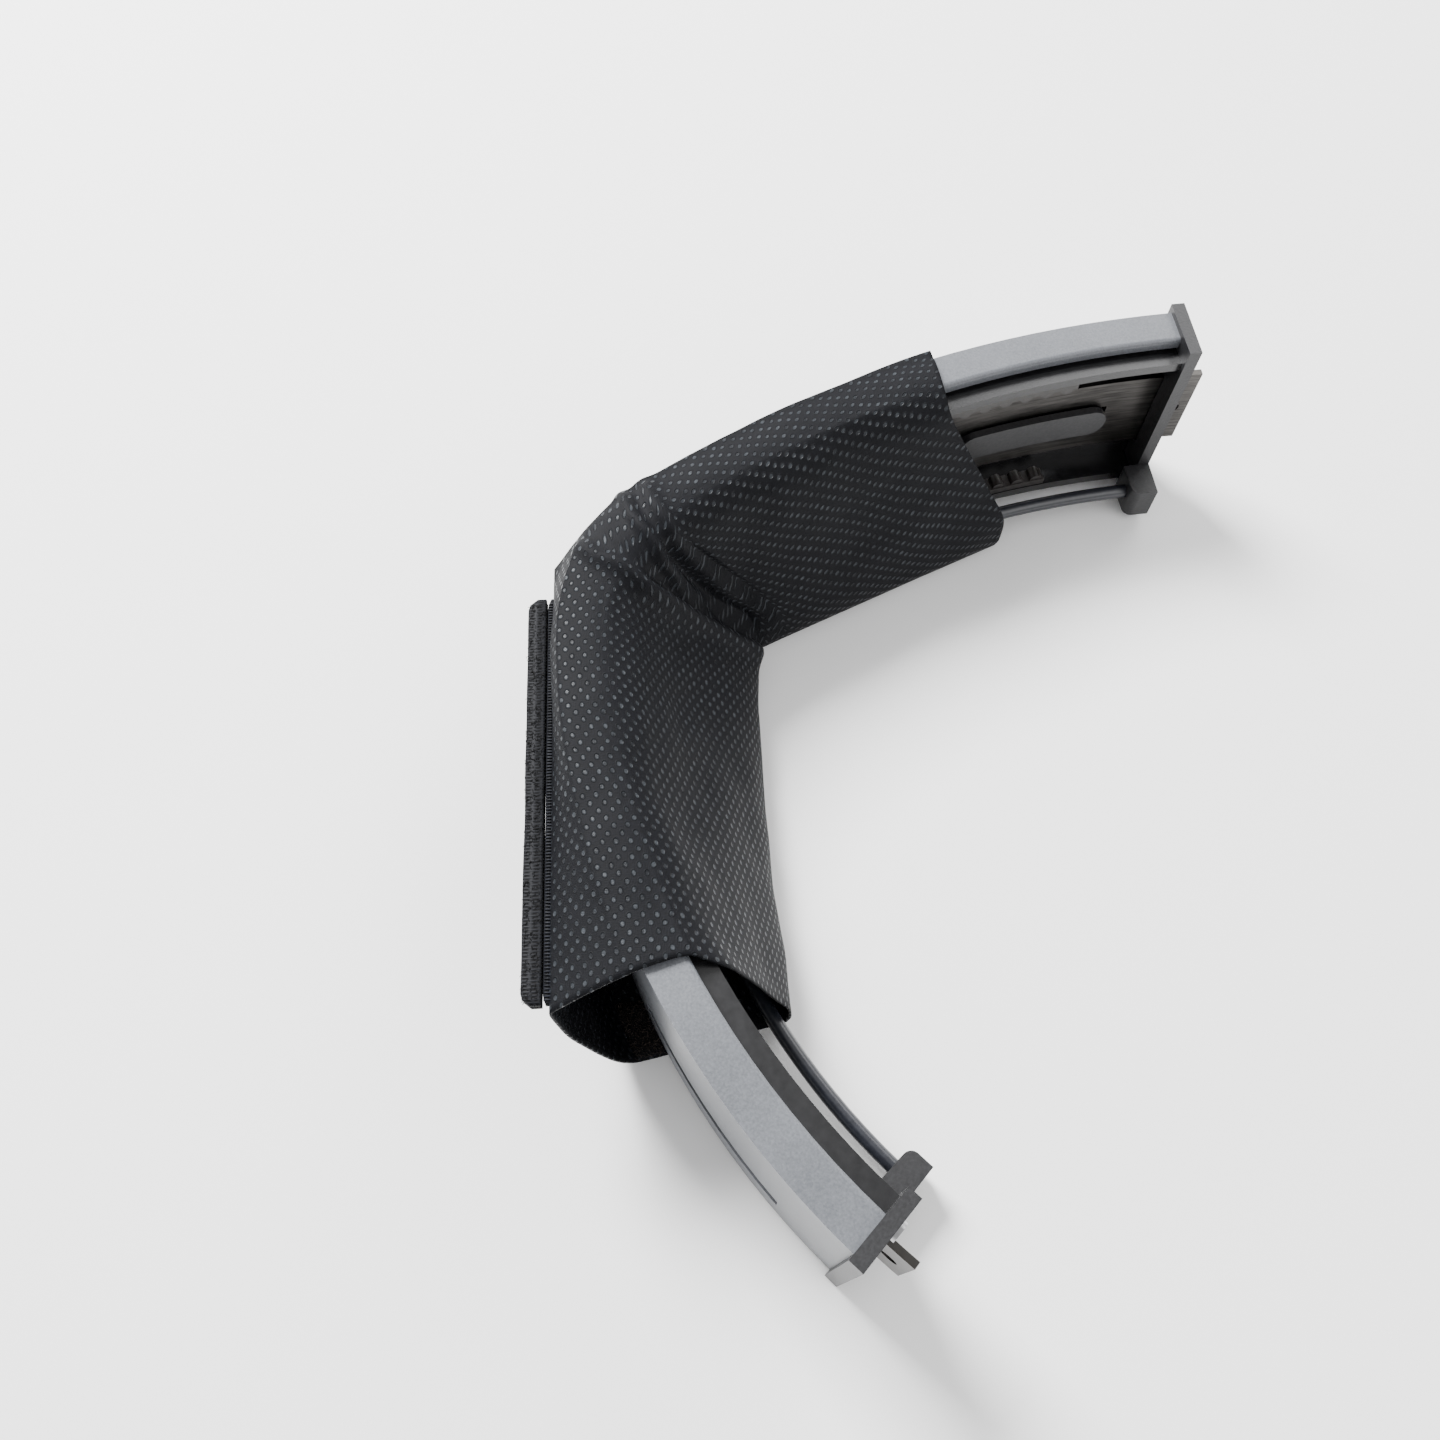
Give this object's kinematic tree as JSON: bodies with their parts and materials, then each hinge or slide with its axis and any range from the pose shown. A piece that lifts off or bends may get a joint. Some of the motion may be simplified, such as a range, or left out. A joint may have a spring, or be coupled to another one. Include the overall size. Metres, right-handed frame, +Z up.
{
  "type": "headset headband with wrap-around cover",
  "caption": "Curved channel headband of a headset, lying on its side, with a black non-woven hook-and-loop cover wrapped round its crown, sliding cup strips and a cable.",
  "frame": {"origin": "on the resting surface, under the middle of the bounding box", "axes": "+Z up, across the band's width; the crown points to -X and the arms open towards +X; the straighter arm runs to +Y"},
  "size_m": [0.081, 0.1466, 0.0338],
  "materials": {
    "shell_grey": "satin, fine-grained",
    "liner_black": "semi-gloss",
    "rack_brown": "satin",
    "block_grey": "satin",
    "strip_steel": "dark brushed",
    "spring_steel": "brushed",
    "fastener_steel": "plain",
    "cap_black": "satin",
    "cable_black": "satin",
    "nonwoven_black": "spun-bonded, dot embossed",
    "hook_tape": "woven tape with hooks",
    "loop_tape": "woven tape with fuzzy loops"
  },
  "bodies": {
    "headband": {"arch_shell": "shell_grey", "spring_leaf": "spring_steel", "channel_liner": "liner_black", "signal_cable": "cable_black", "cover_sheet": "nonwoven_black", "mouth_grip_patch": "loop_tape", "upper_rack_top": "rack_brown", "upper_rack_bottom": "rack_brown", "upper_guide_block": "block_grey", "upper_end_cap": "cap_black", "upper_cap_screws": "fastener_steel", "upper_cable_clip": "cap_black", "upper_loop_tape": "loop_tape", "lower_rack_top": "rack_brown", "lower_rack_bottom": "rack_brown", "lower_guide_block": "block_grey", "lower_end_cap": "cap_black", "lower_cap_screws": "fastener_steel", "lower_cable_clip": "cap_black", "lower_loop_tape": "loop_tape"},
    "upper_slider": {"upper_slider_strip": "strip_steel", "upper_detent_spring": "spring_steel", "upper_detent_rivets": "fastener_steel"},
    "upper_flap": {"upper_hook_tape": "hook_tape"},
    "lower_slider": {"lower_slider_strip": "strip_steel", "lower_detent_spring": "spring_steel", "lower_detent_rivets": "fastener_steel"},
    "lower_flap": {"lower_hook_tape": "hook_tape"}
  },
  "joints": [
    {"name": "upper_slider_travel", "type": "hinge", "parent": "headband", "child": "upper_slider", "pos_m": [0.11247, -0.06569, 0.0169], "axis": [0, 0, -1], "range_deg": [0, 7.43]},
    {"name": "upper_flap_peel", "type": "hinge", "parent": "headband", "child": "upper_flap", "pos_m": [-0.02208, 0.03069, 0.0142], "axis": [0.5354, 0.8133, -0.2276], "range_deg": [0, 90]},
    {"name": "lower_slider_travel", "type": "hinge", "parent": "headband", "child": "lower_slider", "pos_m": [0.06703, 0.03374, 0.0169], "axis": [0, 0, 1], "range_deg": [0, 10.84]},
    {"name": "lower_flap_peel", "type": "hinge", "parent": "headband", "child": "lower_flap", "pos_m": [-0.02495, -0.03519, 0.02795], "axis": [-0.4709, 0.8818, -0.0238], "range_deg": [0, 90]}
  ]
}
